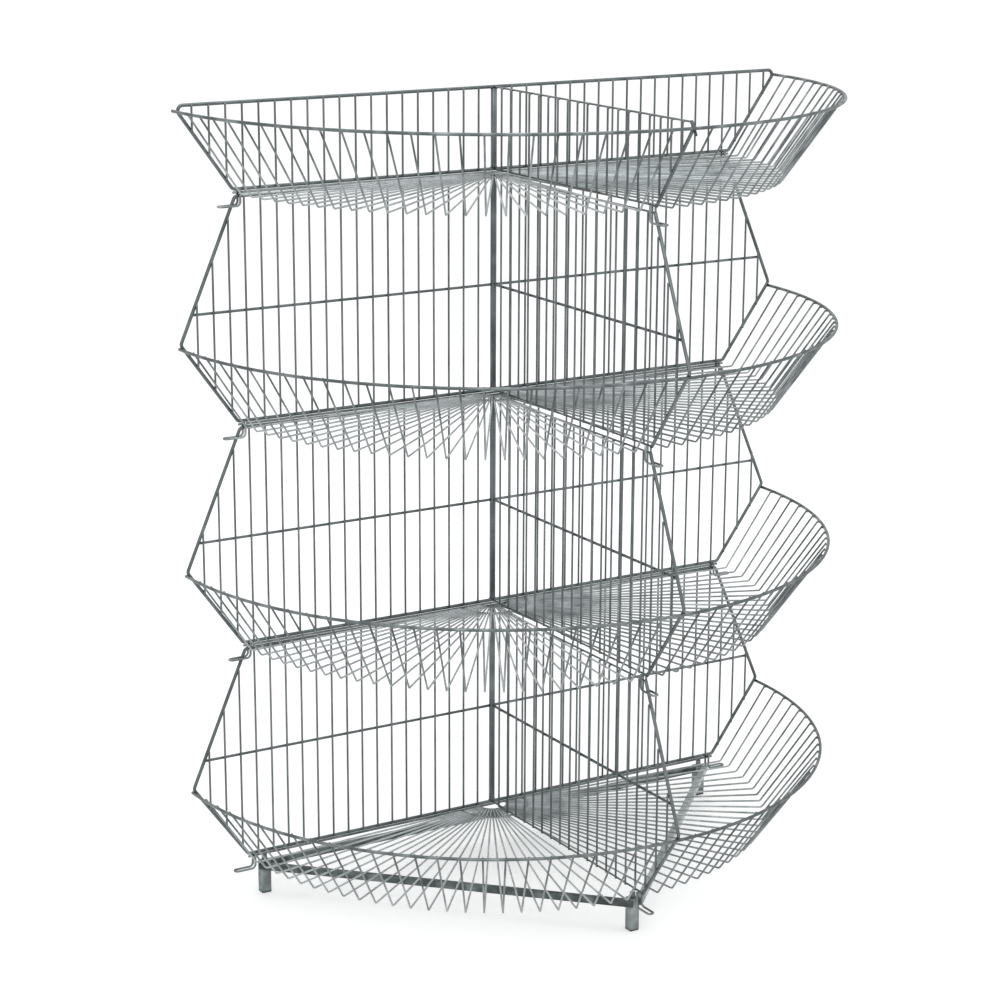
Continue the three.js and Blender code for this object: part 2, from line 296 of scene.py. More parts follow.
def rounded_line(points: Array, radius: float, steps: int, closed: bool) -> Array:
    """Replaces the corners of a polyline by arcs, as a bent rod has them.

    Arc in words: from the point where the rod leaves its straight run, the centre plus the radius times
    the cosine of the turn towards that point and the sine of the turn along the run.

    Args:
        points: Corners, (n, d).
        radius: Bend radius of the rod's middle line.
        steps: Chords in each bend.
        closed: True for a ring.

    Returns:
        Stations of the rounded polyline, (s, d).
    """
    corner = points if closed else points[1:-1]
    before = np.roll(points, 1, axis=0) if closed else points[:-2]
    after = np.roll(points, -1, axis=0) if closed else points[2:]
    into, out = unit(corner - before), unit(after - corner)
    turn = np.arccos(np.clip(np.sum(into * out, axis=1), -1.0, 1.0))[:, None]
    start = corner - into * radius * np.tan(turn / 2.0)
    centre = corner + unit(out - into) * radius / np.cos(turn / 2.0)
    share = (turn * np.linspace(0.0, 1.0, steps + 1))[..., None]
    arcs = (centre[:, None] + np.cos(share) * (start - centre)[:, None]
            + radius * np.sin(share) * into[:, None])
    line = arcs.reshape(-1, points.shape[1])
    return line if closed else np.vstack([points[:1], line, points[-1:]])


def end_stations(line: Array, distances: Array) -> Array:
    """Adds stations near both ends of a polyline, where its finish changes fastest.

    Args:
        line: Polyline with straight first and last runs, (s, d).
        distances: Distances from the ends, rising, (k,).

    Returns:
        The polyline with the stations, (s + 2 * k, d).
    """
    first = line[0] + unit(line[1] - line[0]) * distances[:, None]
    last = line[-1] + unit(line[-2] - line[-1]) * distances[::-1, None]
    return np.vstack([line[:1], first, line[1:-1], last, line[-1:]])


def nuggets(centres: Array, half_sizes: Array) -> Shell:
    """Small weld nuggets as flattened balls.

    Surface in words: centre plus, along X and Y, the half size times the cosine of the height angle times
    the cosine or sine of the way round, and along Z the half size times the sine of the height angle.

    Args:
        centres: Places, (w, 3).
        half_sizes: Half sizes along the frame's three axes, (3,).

    Returns:
        The nuggets, a few dozen faces each.
    """
    sides = 8
    heights = np.radians([-62.0, -22.0, 22.0, 62.0])
    way = np.arange(sides) * 2.0 * np.pi / sides
    ball = np.stack(np.broadcast_arrays(
        np.cos(heights)[:, None] * np.cos(way),
        np.cos(heights)[:, None] * np.sin(way),
        np.sin(heights)[:, None]), axis=-1) * half_sizes
    points = (centres[:, None, None] + ball).reshape(-1, 3)
    quads, row, column = grid_quads(len(centres), len(heights), sides, False)
    corner = np.array([[0, 0], [1, 0], [1, 1], [0, 1]])
    uv = (np.stack([column, row], -1)[:, None] + corner) * MM
    caps = end_caps(len(centres), len(heights), sides)
    return Shell(points, quads, uv, caps, np.ones(len(points)), np.zeros(len(points)), round_caps=True)


def build_mesh(name: str, shells: list[Shell]) -> bpy.types.Mesh:
    """Joins shells to one mesh with smooth sides, flat ends, a UV map and the finish attributes.

    Args:
        name: Name of the mesh.
        shells: Surfaces to join.

    Returns:
        The mesh.
    """
    starts = np.cumsum([0] + [len(shell.points) for shell in shells])
    quads = np.vstack([shell.quads + start for shell, start in zip(shells, starts)])
    caps = [shell.caps + start for shell, start in zip(shells, starts)]
    corners = np.concatenate([quads.ravel()] + [cap.ravel() for cap in caps])
    sizes = np.concatenate([np.full(len(quads), 4)] + [np.full(len(cap), cap.shape[1]) for cap in caps])
    smooth = np.concatenate([np.ones(len(quads), bool)]
                            + [np.full(len(shell.caps), shell.round_caps) for shell in shells])
    points = np.vstack([shell.points for shell in shells])
    uv = np.zeros((len(corners), 2))
    uv[:quads.size] = np.concatenate([shell.quad_uv.reshape(-1, 2) for shell in shells])

    mesh = bpy.data.meshes.new(name)
    mesh.vertices.add(len(points))
    mesh.vertices.foreach_set("co", points.ravel())
    mesh.loops.add(len(corners))
    mesh.loops.foreach_set("vertex_index", corners)
    mesh.polygons.add(len(sizes))
    mesh.polygons.foreach_set("loop_start", np.concatenate([[0], np.cumsum(sizes)[:-1]]))
    mesh.polygons.foreach_set("use_smooth", smooth)
    mesh.update(calc_edges=True)
    mesh.uv_layers.new(name="along").data.foreach_set("uv", uv.ravel())
    for key in ("heat", "tone"):
        values = np.concatenate([getattr(shell, key) for shell in shells])
        mesh.attributes.new(key, "FLOAT", "POINT").data.foreach_set("value", values.astype(np.float32))
    return mesh


def add_node(tree: bpy.types.NodeTree, kind: str, sockets: dict | None = None,
             **settings: object) -> bpy.types.Node:
    """Adds a node with its settings, and fills its sockets with values or links.

    Args:
        tree: Node tree that takes the node.
        kind: Type name of the node.
        sockets: Input name or number to a value, or to another node's output.
        settings: Properties of the node.

    Returns:
        The node.
    """
    made = tree.nodes.new(kind)
    for key, value in settings.items():
        setattr(made, key, value)
    for key, value in (sockets or {}).items():
        if isinstance(value, bpy.types.NodeSocket):
            tree.links.new(value, made.inputs[key])
        else:
            made.inputs[key].default_value = value
    return made


def blank_tree(name: str) -> tuple[bpy.types.Material, bpy.types.NodeTree]:
    """Starts a material with an empty node tree.

    Args:
        name: Name of the material.

    Returns:
        The material and its tree.
    """
    made = bpy.data.materials.new(name)
    made.use_nodes = True
    made.node_tree.nodes.clear()
    return made, made.node_tree


@dataclass(frozen=True)
class PlatedSteel:
    """Drawn or rolled steel under a thin zinc plating.

    The drawing leaves fine lines along the wire, the plating clouds in patches a few centimetres long,
    and the heat of a weld leaves a dull, browner ring.

    Attributes:
        name: Name of the material.
        light: Colour of the brightest plating.
        dark: Colour of the dullest plating.
        weld: Colour at a weld.
        smooth: Roughness of the bright plating.
        rough: Roughness of the dull plating.
        cloud_mm: Length of a cloud in the plating.
        line_mm: Spacing of the drawing lines.
        line_depth_mm: Depth of the drawing lines.
        line_stretch: Length of a drawing line, in spacings.
        line_scuff: How much the lines add to the roughness.
        line_relief: Strength of the lines' relief.
        line_detail: Finer layers in the pattern of the lines.
        cloud_detail: Finer layers in the clouds.
        tone_weight: How far one step of a wire's tone shifts its clouds.
        cloud_span: Cloud values of the dullest and of the brightest plating.
        weld_cover: How far a weld's colour covers the plating.
        weld_scuff: How much a weld adds to the roughness.
    """

    name: str
    light: str
    dark: str
    weld: str
    smooth: float
    rough: float
    cloud_mm: float
    line_mm: float
    line_depth_mm: float
    line_stretch: float = 60.0
    line_scuff: float = 0.08
    line_relief: float = 0.5
    line_detail: float = 2.0
    cloud_detail: float = 3.0
    tone_weight: float = 0.22
    cloud_span: tuple[float, float] = (0.25, 1.0)
    weld_cover: float = 0.75
    weld_scuff: float = 0.2

    def material(self) -> bpy.types.Material:
        """Builds the node tree.

        Returns:
            The material.
        """
        made, tree = blank_tree(self.name)
        place = add_node(tree, "ShaderNodeTexCoord")
        heat = add_node(tree, "ShaderNodeAttribute", attribute_name="heat")
        tone = add_node(tree, "ShaderNodeAttribute", attribute_name="tone")
        clouds = add_node(tree, "ShaderNodeTexNoise", {
            "Vector": place.outputs["Object"], "Scale": 1.0 / (self.cloud_mm * MM),
            "Detail": self.cloud_detail})
        # The wire's tone shifts its clouds, so that neighbouring wires differ a little, and the painted light
        # in the tone pales the plating where light falls
        shade = add_node(tree, "ShaderNodeMath", {
            0: tone.outputs["Fac"], 1: self.tone_weight, 2: clouds.outputs["Fac"]}, operation="MULTIPLY_ADD")
        spread = add_node(tree, "ShaderNodeMapRange", {
            "Value": shade.outputs[0], "From Min": self.cloud_span[0], "From Max": self.cloud_span[1]})
        plating = add_node(tree, "ShaderNodeMix", {
            0: spread.outputs[0], 6: linear(self.dark), 7: linear(self.light)}, data_type="RGBA")
        burnt = add_node(tree, "ShaderNodeMath", {
            0: heat.outputs["Fac"], 1: self.weld_cover}, operation="MULTIPLY")
        colour = add_node(tree, "ShaderNodeMix", {
            0: burnt.outputs[0], 6: plating.outputs[2], 7: linear(self.weld)}, data_type="RGBA")

        # Real drawing lines lie under a tenth of a millimetre apart, too fine to show, and are coarser here
        lines_per_metre = 1.0 / (self.line_mm * MM)
        line_scale = add_node(tree, "ShaderNodeMapping", {
            "Vector": place.outputs["UV"],
            "Scale": (lines_per_metre, lines_per_metre / self.line_stretch, 1.0)})
        lines = add_node(tree, "ShaderNodeTexNoise", {
            "Vector": line_scale.outputs[0], "Scale": 1.0, "Detail": self.line_detail}, noise_dimensions="2D")
        gloss = add_node(tree, "ShaderNodeMapRange", {
            "Value": spread.outputs[0], "To Min": self.rough, "To Max": self.smooth})
        scuffed = add_node(tree, "ShaderNodeMath", {
            0: lines.outputs["Fac"], 1: self.line_scuff, 2: gloss.outputs[0]}, operation="MULTIPLY_ADD")
        dulled = add_node(tree, "ShaderNodeMath", {
            0: heat.outputs["Fac"], 1: self.weld_scuff, 2: scuffed.outputs[0]}, operation="MULTIPLY_ADD")
        relief = add_node(tree, "ShaderNodeBump", {
            "Height": lines.outputs["Fac"], "Distance": self.line_depth_mm * MM,
            "Strength": self.line_relief})
        surface = add_node(tree, "ShaderNodeBsdfPrincipled", {
            "Base Color": colour.outputs[2], "Metallic": 1.0, "Roughness": dulled.outputs[0],
            "Normal": relief.outputs[0]})
        add_node(tree, "ShaderNodeOutputMaterial", {"Surface": surface.outputs[0]})
        return made


@dataclass(frozen=True)
class MouldedPlastic:
    """Injection-moulded polyethylene: an even satin grain, a little darker in its dips.

    Attributes:
        name: Name of the material.
        light: Colour on the tops of the grain.
        dark: Colour in the dips.
        roughness: Roughness of the moulded face.
        grain_mm: Size of the moulded grain.
        grain_depth_mm: Depth of the grain.
        grain_relief: Strength of the grain's relief.
        grain_detail: Finer layers in the grain.
        gloss_swing: How far the roughness swings with the grain, to either side.
        ior: Index of refraction of polyethylene.
    """

    name: str
    light: str
    dark: str
    roughness: float
    grain_mm: float
    grain_depth_mm: float
    grain_relief: float = 0.4
    grain_detail: float = 2.0
    gloss_swing: float = 0.08
    ior: float = 1.51

    def material(self) -> bpy.types.Material:
        """Builds the node tree.

        Returns:
            The material.
        """
        made, tree = blank_tree(self.name)
        place = add_node(tree, "ShaderNodeTexCoord")
        # A real moulded grain is about a tenth of a millimetre wide, too fine to show, and is coarser here
        grain = add_node(tree, "ShaderNodeTexNoise", {
            "Vector": place.outputs["Object"], "Scale": 1.0 / (self.grain_mm * MM),
            "Detail": self.grain_detail})
        colour = add_node(tree, "ShaderNodeMix", {
            0: grain.outputs["Fac"], 6: linear(self.dark), 7: linear(self.light)}, data_type="RGBA")
        gloss = add_node(tree, "ShaderNodeMapRange", {
            "Value": grain.outputs["Fac"], "To Min": self.roughness - self.gloss_swing,
            "To Max": self.roughness + self.gloss_swing})
        relief = add_node(tree, "ShaderNodeBump", {
            "Height": grain.outputs["Fac"], "Distance": self.grain_depth_mm * MM,
            "Strength": self.grain_relief})
        surface = add_node(tree, "ShaderNodeBsdfPrincipled", {
            "Base Color": colour.outputs[2], "Roughness": gloss.outputs[0], "IOR": self.ior,
            "Normal": relief.outputs[0]})
        add_node(tree, "ShaderNodeOutputMaterial", {"Surface": surface.outputs[0]})
        return made


FINISHES: dict[Slot, PlatedSteel | MouldedPlastic] = {
    # Drawn rod, dull grey with a soft line of light along it
    Slot.FRAME_WIRE: PlatedSteel(
        name="zinc_plated_steel_rod", light="#848b8c", dark="#575d5e", weld="#4c4a46",
        smooth=0.26, rough=0.40, cloud_mm=34.0, line_mm=0.5, line_depth_mm=0.02),
    # Thinner drawn wire, dull on the fronts, with painted light: pale plating on the floor runs where light
    # from above falls
    Slot.FILL_WIRE: PlatedSteel(
        name="zinc_plated_drawn_wire", light="#b4babb", dark="#5b6162", weld="#4c4a46",
        smooth=0.24, rough=0.38, cloud_mm=26.0, line_mm=0.4, line_depth_mm=0.015),
    # Rolled tube, matt and clouded, so that its flat faces show no clear reflection
    Slot.BASE_TUBE: PlatedSteel(
        name="zinc_plated_square_tube", light="#b4babb", dark="#565c5d", weld="#474643",
        smooth=0.46, rough=0.60, cloud_mm=22.0, line_mm=0.8, line_depth_mm=0.03),
    # Moulded plug, an even satin grey
    Slot.FOOT_PLASTIC: MouldedPlastic(
        name="moulded_grey_polyethylene", light="#5b6261", dark="#4b5150",
        roughness=0.55, grain_mm=0.9, grain_depth_mm=0.02),
}


class Finisher:
    """Makes each finish once, and turns shells to finished pieces of the stand."""

    def __init__(self) -> None:
        """Builds the materials of all slots."""
        self.materials = {slot: finish.material() for slot, finish in FINISHES.items()}

    def piece(self, name: str, shells: list[Shell], slot: Slot, body: str, node: str) -> None:
        """Adds a piece that rides on a body.

        Args:
            name: Name of the piece.
            shells: Its surfaces, in place.
            slot: Material slot of its finish.
            body: Body that it moves with.
            node: CAD node that it stands for.
        """
        mesh = build_mesh(name, shells)
        mesh.materials.append(self.materials[slot])
        made = bpy.data.objects.new(name, mesh)
        bpy.context.scene.collection.objects.link(made)
        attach(made, body)
        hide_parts(node)
        LOG.info("%s: %d faces on %s", name, len(mesh.polygons), body)


@dataclass(frozen=True)
class WireStock:
    """Diameters of the rods and wires, and how they are bent.

    Attributes:
        frame: Frame rod of the panels.
        fill: Upright wires of the panels.
        basket: Wires of the baskets.
        rim: Rim rod of a basket.
        floor: Rods of the floor, under the back panel and in the half ring.
        rail: Rails of a divider.
        mid_rail: Rod across the middle of a tall panel.
        post: Rod where the three panels meet.
        loop: Rod of a retaining loop.
        frame_bend: Bend radius of the frame rod.
        wire_bend: Bend radius of a basket wire.
    """

    frame: float = 5.0 * MM
    fill: float = 3.0 * MM
    basket: float = 2.8 * MM
    rim: float = 4.5 * MM
    floor: float = 3.4 * MM
    rail: float = 2.8 * MM
    mid_rail: float = 4.0 * MM
    post: float = 9.0 * MM
    loop: float = 3.2 * MM
    frame_bend: float = 7.0 * MM
    wire_bend: float = 5.0 * MM


STOCK = WireStock()

# Half sizes of the weld nuggets along X, Y and Z
LAP_WELD = np.array([2.0, 2.0, 1.6]) * MM
CROSS_WELD = np.array([1.7, 1.7, 1.7]) * MM
POST_WELD = np.array([1.9, 2.2, 1.5]) * MM
BASKET_WELD = np.array([1.9, 1.9, 1.6]) * MM

# Distances from a wire's end at which it has stations, because its finish changes fastest there
WELD_STATIONS = np.array([3.0, 8.0, 18.0]) * MM

# Points round a rod, a wire, the post and a bead, and chords or stations along bends and long pieces
FRAME_SIDES = 14
FILL_SIDES = 10
POST_SIDES = 24
BEAD_SIDES = 8
BEAD_STEPS = 8
ROD_BEND_STEPS = 6
WIRE_BEND_STEPS = 5
TUBE_CORNER_STEPS = 4
BAR_STATIONS = 6
RIM_STATIONS = 61
HUB_STATIONS = 49
TIP_STATIONS = 11


@dataclass
class Tier:
    """One tier: back panel, divider, mid rails, post, floor, two quarter-round baskets and three loops.

    Attributes:
        number: Place in the stack, from 1 at the bottom.
        finisher: Maker of the finished pieces.
        rim_radius: Radius of the rim, from the middle of the back.
        floor_radius: Radius where the basket wires bend up.
        top_radius: Half width of a tall panel's top rail.
        low_top_radius: Half width of a low panel's top rail.
        corner_height: Height of a tall panel's outer corner.
        rim_height: Height of the rim.
        mid_height: Height of the mid rail.
        hub_radius: Radius of the half ring.
        inner_radius: Where every other basket wire starts, inside the half ring.
        first_upright: Distance of the first panel wire from the middle.
        pitch: Spacing of the panel wires.
        uprights_per_side: Panel wires on each side of the middle.
        wires: Wires in each basket.
        loop_radius: Where a loop leaves the floor rail.
        loop_drop: Depth of a loop under the floor rail.
        loop_reach: How far a loop runs out.
        loop_bend: Bend radius of a loop's legs.
        loop_weld_drop: Depth of a loop's welds under the floor rail's middle.
        loop_heat_reach: Distance over which the heat of a loop's welds fades.
        clearance: Gap between rods that lie side by side.
        weld_depth: How far a welded wire sinks into its rod.
        weld_inset: How far a panel wire's welds lie inside its ends.
        short_upright: Length of a panel wire under which its end stations draw together.
        post_chamfer: Height of the softened edge at the post's ends.
        post_end: Share of the post's diameter that is left at its ends.
        rim_overrun: How far the rim runs past the back panel's frame.
        painted_light_height: Height over which the painted light on the floor wires fades out up the bend.
        left_painted_light: How much painted light, standing for light from above, lifts the left floor's
            plating tone.
        right_painted_light: How much painted light lifts the right floor's plating tone.
        front_tone: Middle plating tone of the front wires.
        rim_tone: Middle plating tone of the rims.
        tone_swing: How far single wires differ from their middle tone, to either side.
    """

    number: int
    finisher: Finisher
    rim_radius: float = 500.0 * MM
    floor_radius: float = 416.0 * MM
    top_radius: float = 413.0 * MM
    low_top_radius: float = 491.0 * MM
    corner_height: float = 116.0 * MM
    rim_height: float = 110.0 * MM
    mid_height: float = 156.5 * MM
    hub_radius: float = 55.0 * MM
    inner_radius: float = 22.0 * MM
    first_upright: float = 27.6 * MM
    pitch: float = 24.9 * MM
    uprights_per_side: int = 19
    wires: int = 24
    loop_radius: float = 407.0 * MM
    loop_drop: float = 23.0 * MM
    loop_reach: float = 33.0 * MM
    loop_bend: float = 6.0 * MM
    loop_weld_drop: float = 1.2 * MM
    loop_heat_reach: float = 4.0 * MM
    clearance: float = 0.3 * MM
    weld_depth: float = 0.4 * MM
    weld_inset: float = 0.8 * MM
    short_upright: float = 60.0 * MM
    post_chamfer: float = 0.8 * MM
    post_end: float = 0.82
    rim_overrun: float = 4.5 * MM
    painted_light_height: float = 12.0 * MM
    left_painted_light: float = 2.6
    right_painted_light: float = 1.4
    front_tone: float = -0.75
    rim_tone: float = -0.9
    tone_swing: float = 0.5

    def __post_init__(self) -> None:
        """Finds the tier's place and height in the frame and starts its own row of tones."""
        low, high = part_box(self.node("back_panel"))
        floor_low, floor_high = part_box(self.node("floor"))
        rail = low.z + STOCK.frame / 2.0
        self.origin = np.array([0.0, high.y - STOCK.frame / 2.0, rail])
        self.panel_height = high.z - STOCK.frame / 2.0 - rail
        self.floor_drop = rail - (floor_low.z + floor_high.z) / 2.0
        self.tall = self.node("mid_rail_left") in frame["nodes"]
        self.tones = np.random.default_rng(SEED + self.number)
        self.body = f"tier{self.number}"
        self.lap = (STOCK.frame + STOCK.fill) / 2.0 - self.weld_depth

    def node(self, part: str) -> str:
        """Name of a CAD node of this tier."""
        return f"tier{self.number}_{part}"

    def piece(self, name: str, shells: list[Shell], slot: Slot, part: str) -> None:
        """Adds a piece of this tier, which stands for one of its CAD nodes."""
        self.finisher.piece(self.node(name), shells, slot, self.body, self.node(part))

    def tone(self, count: int, middle: float = 0.0) -> Array:
        """Plating tones for a number of wires, drawn evenly from round a middle tone."""
        return middle + self.tones.uniform(-self.tone_swing, self.tone_swing, count)

    def upper_slope(self) -> float:
        """Sideways run per height of a tall panel's frame above its corner."""
        return (self.rim_radius - self.top_radius) / (self.panel_height - self.corner_height)

    def lower_slope(self) -> float:
        """Sideways run per height of the frame below its corner."""
        return (self.rim_radius - self.floor_radius) / self.corner_height

    def outline(self) -> Array:
        """Corners of half a panel's frame as distance and height, from the floor rail to the top rail.

        A tall panel leans in above its corner. A low one ends in a short step above the rim.

        Returns:
            Three corners, (3, 2).
        """
        foot = [self.floor_radius, 0.0]
        if self.tall:
            corner = [self.rim_radius, self.corner_height]
            return np.array([foot, corner, [self.top_radius, self.panel_height]])
        shoulder = [self.floor_radius + self.lower_slope() * self.rim_height, self.rim_height]
        return np.array([foot, shoulder, [self.low_top_radius, self.panel_height]])

    def upright_lines(self, distances: Array) -> tuple[Array, Array]:
        """Lowest and highest points of panel wires on the frame's middle line.

        Args:
            distances: Distances of the wires from the middle, (w,).

        Returns:
            Low and high heights, (w,) each.
        """
        low = np.maximum(0.0, (distances - self.floor_radius) / self.lower_slope())
        if not self.tall:
            return low, np.full_like(distances, self.panel_height)
        slanted = self.corner_height + (self.rim_radius - distances) / self.upper_slope()
        return low, np.minimum(self.panel_height, slanted)

    def place(self, along: Array | float, across: Array | float, height: Array | float,
              corner: Corner) -> Array:
        """Puts points of a panel's own plane into the frame.

        Args:
            along: Distance from the middle of the back towards the corner.
            across: Distance to the left of the panel, seen looking along it from above.
            height: Height above the tier's floor rail.
            corner: Corner that the panel runs to.

        Returns:
            Points in the frame, with a last axis of three.
        """
        along, across, height = np.broadcast_arrays(along, across, height)
        return (self.origin + along[..., None] * corner.outward + across[..., None] * corner.leftward
                + height[..., None] * UPWARD)

    def rod(self, line: Array, corner: Corner, diameter: float, closed: bool = False,
            across: float = 0.0) -> Shell:
        """A round rod bent in a panel's plane.

        Args:
            line: Distance and height of its stations, (p, 2).
            corner: Corner that the panel runs to.
            diameter: Diameter of the rod.
            closed: True for a ring.
            across: Distance of the rod's plane from the panel's.

        Returns:
            The rod's surface.
        """
        path = self.place(line[:, 0], across, line[:, 1], corner)[None]
        normals = np.broadcast_to(corner.leftward, path.shape)
        return sweep(path, normals, circle(diameter / 2.0, FRAME_SIDES), self.tone(1), closed)

    def uprights(self, distances: Array, corner: Corner) -> list[Shell]:
        """Panel wires lapped on one side of the frame, with a weld nugget at each end.

        Args:
            distances: Distances of the wires from the middle, (w,).
            corner: Corner that the panel runs to.

        Returns:
            The wires and the nuggets.
        """
        low, high = self.upright_lines(np.abs(distances))
        length = (high - low)[:, None]
        step = WELD_STATIONS * np.minimum(1.0, length / self.short_upright)
        zero = np.zeros_like(length)
        stations = low[:, None] + np.hstack([zero, step, length - step[:, ::-1], length])
        paths = self.place(distances[:, None], -self.lap, stations, corner)
        normals = np.broadcast_to(corner.outward, paths.shape)
        wires = sweep(paths, normals, circle(STOCK.fill / 2.0, FILL_SIDES), self.tone(len(distances)))
        contact = STOCK.fill / 2.0 - self.lap
        heights = (low + self.weld_inset, high - self.weld_inset)
        ends = [self.place(distances, contact, height, corner) for height in heights]
        return [wires, nuggets(np.vstack(ends), LAP_WELD)]

    def mid_rail(self, name: str, start: float, end: float, corner: Corner) -> None:
        """Rod across the middle of a tall panel, laid behind its wires and welded to each.

        Args:
            name: Name of the rail and of its CAD node.
            start: Distance of one end from the middle, negative on the left.
            end: Distance of the other end.
            corner: Corner that the panel runs to.
        """
        line = end_stations(np.array([[start, self.mid_height], [end, self.mid_height]]), WELD_STATIONS)
        setback = STOCK.fill / 2.0 + self.clearance + STOCK.mid_rail / 2.0 - self.lap
        rod = self.rod(line, corner, STOCK.mid_rail, across=setback)
        both = np.concatenate([-self.distances(), self.distances()])
        crossings = both[(both > start) & (both < end)]
        contact = setback - (STOCK.mid_rail + self.clearance) / 2.0
        beads = nuggets(self.place(crossings, contact, self.mid_height, corner), CROSS_WELD)
        self.piece(f"{name}_rod", [rod, beads], Slot.FRAME_WIRE, name)

    def mid_rails(self) -> None:
        """Mid rails from the post to the frame on the left, on the right and in the divider."""
        start = STOCK.post / 2.0
        reach = self.rim_radius - self.upper_slope() * (self.mid_height - self.corner_height)
        self.mid_rail("mid_rail_left", -reach, -start, Corner.RIGHT)
        self.mid_rail("mid_rail_right", start, reach, Corner.RIGHT)
        self.mid_rail("mid_rail_divider", start, reach, Corner.FRONT)

    def distances(self) -> Array:
        """Distances of the panel wires on one side of the middle."""
        return self.first_upright + np.arange(self.uprights_per_side) * self.pitch

    def back_panel(self) -> None:
        """Flat back: a ring of frame rod with upright wires on its front."""
        right = self.outline()
        left = (right * [-1.0, 1.0])[::-1]
        ring = rounded_line(np.vstack([right, left]), STOCK.frame_bend, ROD_BEND_STEPS, True)
        near = self.distances()
        shells = [self.rod(ring, Corner.RIGHT, STOCK.frame, closed=True)]
        shells += self.uprights(np.concatenate([-near[::-1], near]), Corner.RIGHT)
        self.piece("back_grid", shells, Slot.FRAME_WIRE, "back_panel")

    def divider_panel(self) -> None:
        """Divider: a bent rod at the front, two rails from it to the back, and upright wires on its left."""
        start = STOCK.frame / 2.0 - self.weld_depth
        bent = rounded_line(self.outline(), STOCK.frame_bend, ROD_BEND_STEPS, False)
        shells = [self.rod(end_stations(bent, WELD_STATIONS), Corner.FRONT, STOCK.frame)]
        for reach, height in bent[[0, -1]]:
            rail = np.array([[start, height], [reach, height]])
            shells.append(self.rod(end_stations(rail, WELD_STATIONS), Corner.FRONT, STOCK.rail))
        joints = self.place(bent[[0, -1], 0], 0.0, bent[[0, -1], 1], Corner.FRONT)
        shells.append(nuggets(joints, np.full(3, STOCK.frame / 2.0)))
        shells += self.uprights(self.distances(), Corner.FRONT)
        self.piece("divider_grid", shells, Slot.FRAME_WIRE, "divider_panel")

    def post(self) -> None:
        """Round post between the rails where the panels meet, with chamfered ends and welds."""
        bottom = STOCK.frame / 2.0 - self.weld_depth
        top = self.panel_height - bottom
        heights = np.array([bottom, bottom + self.post_chamfer, top - self.post_chamfer, top])
        path = self.place(0.0, 0.0, heights, Corner.FRONT)[None]
        normals = np.broadcast_to(RIGHTWARD, path.shape)
        ends = np.array([self.post_end, 1.0, 1.0, self.post_end])
        rod = sweep(path, normals, circle(STOCK.post / 2.0, POST_SIDES), self.tone(1), scale=ends)
        sides = np.array([-1.0, 1.0])[:, None] * STOCK.post / 2.0
        welds = self.place(sides, 0.0, np.array([bottom, top]), Corner.RIGHT).reshape(-1, 3)
        self.piece("post_rod", [rod, nuggets(welds, POST_WELD)], Slot.FRAME_WIRE, "centre_post")

    def wire_step(self) -> float:
        """Angle between neighbouring basket wires."""
        return (math.pi / 2.0) / (self.wires + 1)

    def fan(self, line: Array, angles: Array) -> tuple[Array, Array]:
        """Turns a side view to many angles round the middle of the back.

        Args:
            line: Radius and height of the stations, (p, 2).
            angles: Angles, (w,).

        Returns:
            Paths (w, p, 3), and level normals square to them, (w, p, 3).
        """
        out = np.stack([np.cos(angles), np.sin(angles), np.zeros_like(angles)], axis=1)
        level = np.stack([-np.sin(angles), np.cos(angles), np.zeros_like(angles)], axis=1)
        paths = self.origin + line[:, 0, None] * out[:, None] + line[:, 1, None] * UPWARD
        return paths, np.broadcast_to(level[:, None], paths.shape)

    def arc(self, radius: float, height: float, angles: Array, diameter: float, sides: int,
            tone: float = 0.0) -> Shell:
        """A round rod bent level round the middle of the back.

        Args:
            radius: Radius of its middle line.
            height: Height above the tier's floor rail.
            angles: Angles of its stations, (p,).
            diameter: Diameter of the rod.
            sides: Points round it.
            tone: Middle plating tone.

        Returns:
            The rod's surface.
        """
        path = self.fan(np.array([[radius, height]]), angles)[0][:, 0][None]
        normals = np.broadcast_to(UPWARD, path.shape)
        return sweep(path, normals, circle(diameter / 2.0, sides), self.tone(1, tone))

    def basket(self, start: Corner, side: str) -> None:
        """Quarter basket: wires along the floor and up to the inside of the rim, and the rim.

        Every other wire starts at the half ring. The others run on inside it, nearly to the post. The floor
        runs carry painted light, a paler plating tone for the light from above that falls on them, and it
        fades out with the height in the bend.

        Args:
            start: Corner at which the quarter begins.
            side: Word for the basket's side.
        """
        bend = np.array([self.floor_radius, -self.floor_drop])
        # The wires end a quarter of the rim's thickness above its middle, and their welds lie as far below it
        weld = (STOCK.rim + STOCK.basket) / 2.0 - self.weld_depth
        top = np.array([self.rim_radius - weld, self.rim_height + STOCK.rim / 4.0])
        angles = start.value + np.arange(1, self.wires + 1) * self.wire_step()
        # Painted light on the floor runs, stronger in the left basket, where more light falls
        painted_light = self.left_painted_light if start is Corner.LEFT else self.right_painted_light
        wires = []
        for first, rays in ((self.hub_radius, angles[::2]), (self.inner_radius, angles[1::2])):
            corners = np.vstack([[first, -self.floor_drop], bend, top])
            line = rounded_line(corners, STOCK.wire_bend, WIRE_BEND_STEPS, False)
            line = end_stations(line, WELD_STATIONS)
            paths, normals = self.fan(line, rays)
            # Share of the painted light at each station: whole on the floor, fading to none up the bend
            painted_light_share = np.clip(1.0 - (line[:, 1] + self.floor_drop) / self.painted_light_height, 0.0, 1.0)
            tone = self.tone(len(rays), self.front_tone)[:, None] + painted_light * painted_light_share
            wires.append(sweep(paths, normals, circle(STOCK.basket / 2.0, FILL_SIDES), tone))
        welds = np.array([[self.rim_radius - STOCK.rim / 2.0, self.rim_height - STOCK.rim / 4.0],
                          [self.hub_radius + STOCK.floor / 2.0, -self.floor_drop]])
        beads = nuggets(self.fan(welds, angles)[0].reshape(-1, 3), BASKET_WELD)
        shells = [*wires, self.rim(start), beads]
        self.piece(f"basket_{side}", shells, Slot.FILL_WIRE, f"front_{side}")

